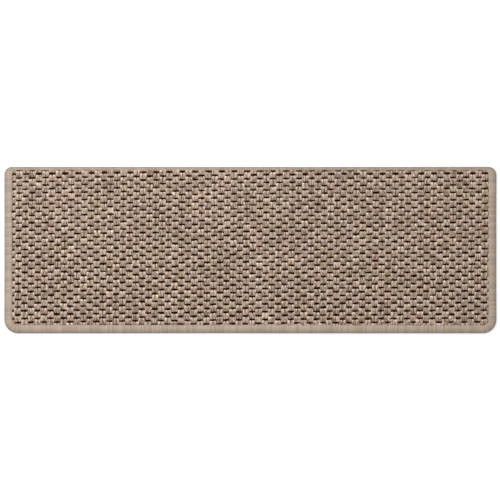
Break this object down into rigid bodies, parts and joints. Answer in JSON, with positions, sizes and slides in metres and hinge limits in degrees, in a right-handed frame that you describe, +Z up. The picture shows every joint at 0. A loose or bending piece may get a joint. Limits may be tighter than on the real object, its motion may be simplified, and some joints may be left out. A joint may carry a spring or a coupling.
{
  "type": "anti slip stair tread mat",
  "caption": "Long flat-woven stair tread mat with rounded corners, a yarn-wrapped edge and a grippy rubber backing, for laying on one step.",
  "frame": {"origin": "middle of the mat's underside, on the surface it lies on", "axes": "+X along the mat's length, +Y across it towards the edge that turns down, +Z up out of the woven face"},
  "size_m": [0.65, 0.22, 0.008],
  "materials": {
    "woven_cloth": "flat-woven beige synthetic cord with a low sheen, small tint changes from block to block",
    "backing": "matt grey-beige rubber",
    "binding_yarn": "closely wrapped beige yarn with a soft sheen"
  },
  "bodies": {
    "root": {"woven_face": "woven_cloth", "rubber_backing": "backing", "edge_binding": "binding_yarn"}
  },
  "joints": []
}
